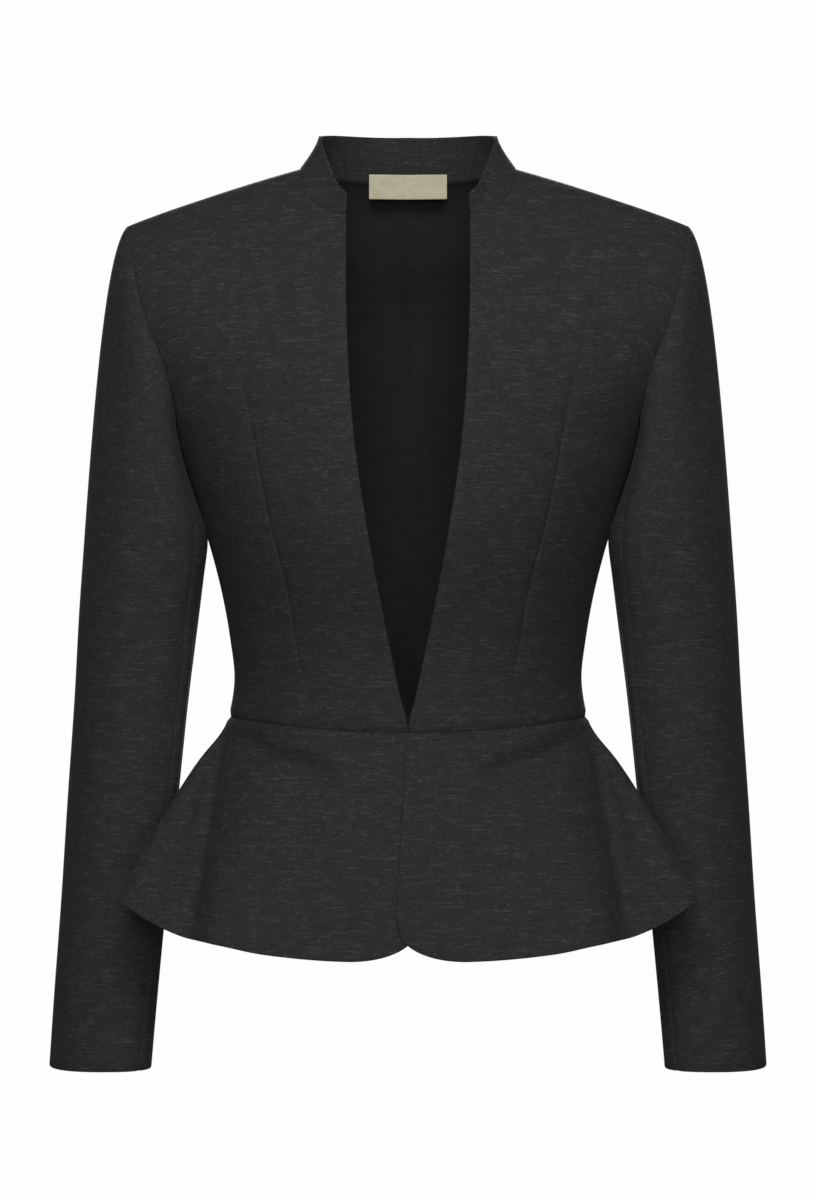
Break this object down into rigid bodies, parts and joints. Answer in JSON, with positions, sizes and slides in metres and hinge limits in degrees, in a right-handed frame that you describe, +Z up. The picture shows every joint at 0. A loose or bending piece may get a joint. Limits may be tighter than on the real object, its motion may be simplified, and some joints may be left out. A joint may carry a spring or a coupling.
{
  "type": "peplum blazer",
  "caption": "Fitted charcoal blazer with a deep V front, stand collar, two-piece sleeves and a flared peplum, filled out as worn and hollow.",
  "frame": {"origin": "midway between the neck points, at the height where the shoulders carry the blazer", "axes": "+Z up, the front faces -Y, the wearer's left is +X"},
  "size_m": [0.5246, 0.2929, 0.6844],
  "materials": {
    "suiting": "matte charcoal slub suiting with fine paler threads across",
    "label_satin": "woven satin, khaki beige, bare"
  },
  "bodies": {
    "root": {"front_left": "suiting", "front_right": "suiting", "back_left": "suiting", "back_right": "suiting", "collar": "suiting", "upper_sleeve_left": "suiting", "upper_sleeve_right": "suiting", "under_sleeve_left": "suiting", "under_sleeve_right": "suiting", "peplum_front_left": "suiting", "peplum_front_right": "suiting", "peplum_back_left": "suiting", "peplum_back_right": "suiting", "label": "label_satin"}
  },
  "joints": []
}
